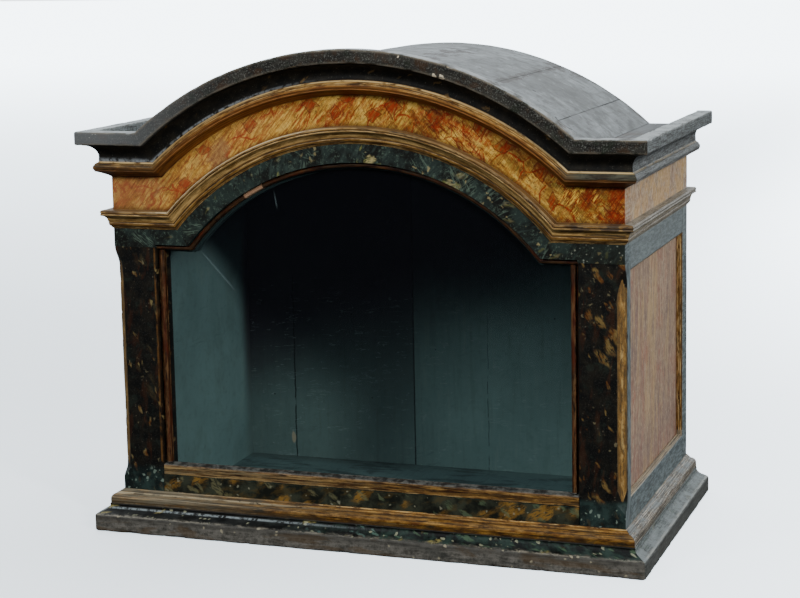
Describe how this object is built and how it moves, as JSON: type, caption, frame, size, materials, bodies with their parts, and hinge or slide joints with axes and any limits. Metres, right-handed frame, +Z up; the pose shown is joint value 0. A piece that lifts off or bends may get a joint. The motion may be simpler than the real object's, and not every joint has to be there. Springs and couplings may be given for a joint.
{
  "type": "reliquary case",
  "caption": "Glazed wooden reliquary case with an arched cornice, barrel roof and stepped plinth, painted as marble with worn gilt mouldings.",
  "frame": {"origin": "centre of the overall footprint, on the underside", "axes": "+X to the right along the glazed front, +Y from the front to the back, +Z up"},
  "size_m": [0.88, 0.4755, 0.7486],
  "materials": {
    "marbled_paint": "dark marbled paint with flecks, satin",
    "worn_gilding": "worn gilding over wood",
    "dark_paint": "rubbed black paint",
    "plinth_paint": "dusty dark paint",
    "side_paint": "dark paint with a hazy varnish",
    "inside_paint": "matt blue-green paint",
    "roof_paint": "dusty grey paint",
    "bare_wood": "bare board",
    "window_glass": "clear pane"
  },
  "bodies": {
    "root": {"floor_board": "bare_wood", "plinth_moulding_front": "plinth_paint", "plinth_moulding_left": "plinth_paint", "plinth_moulding_right": "plinth_paint", "corner_post_left": "marbled_paint", "corner_post_right": "marbled_paint", "bottom_rail": "marbled_paint", "head_board": "marbled_paint", "glazing_bead_left": "worn_gilding", "glazing_bead_right": "worn_gilding", "glazing_bead_sill": "worn_gilding", "glazing_bead_head": "worn_gilding", "glass_pane": "window_glass", "architrave_moulding_front": "worn_gilding", "architrave_moulding_left": "worn_gilding", "architrave_moulding_right": "worn_gilding", "bed_moulding_front": "worn_gilding", "bed_moulding_left": "worn_gilding", "bed_moulding_right": "worn_gilding", "corona_front": "dark_paint", "corona_left": "dark_paint", "corona_right": "dark_paint", "side_plank_left": "side_paint", "side_plank_right": "side_paint", "side_stile_left": "side_paint", "side_stile_right": "side_paint", "side_bottom_rail_left": "side_paint", "side_bottom_rail_right": "side_paint", "side_top_rail_left": "side_paint", "side_top_rail_right": "side_paint", "back_board_left": "inside_paint", "back_board_right": "inside_paint", "roof_stave_1": "roof_paint", "roof_stave_2": "roof_paint", "roof_stave_3": "roof_paint", "roof_stave_4": "roof_paint", "roof_stave_5": "roof_paint", "roof_stave_6": "roof_paint", "roof_stave_7": "roof_paint", "shoulder_board_left": "roof_paint", "shoulder_board_right": "roof_paint"}
  },
  "joints": []
}
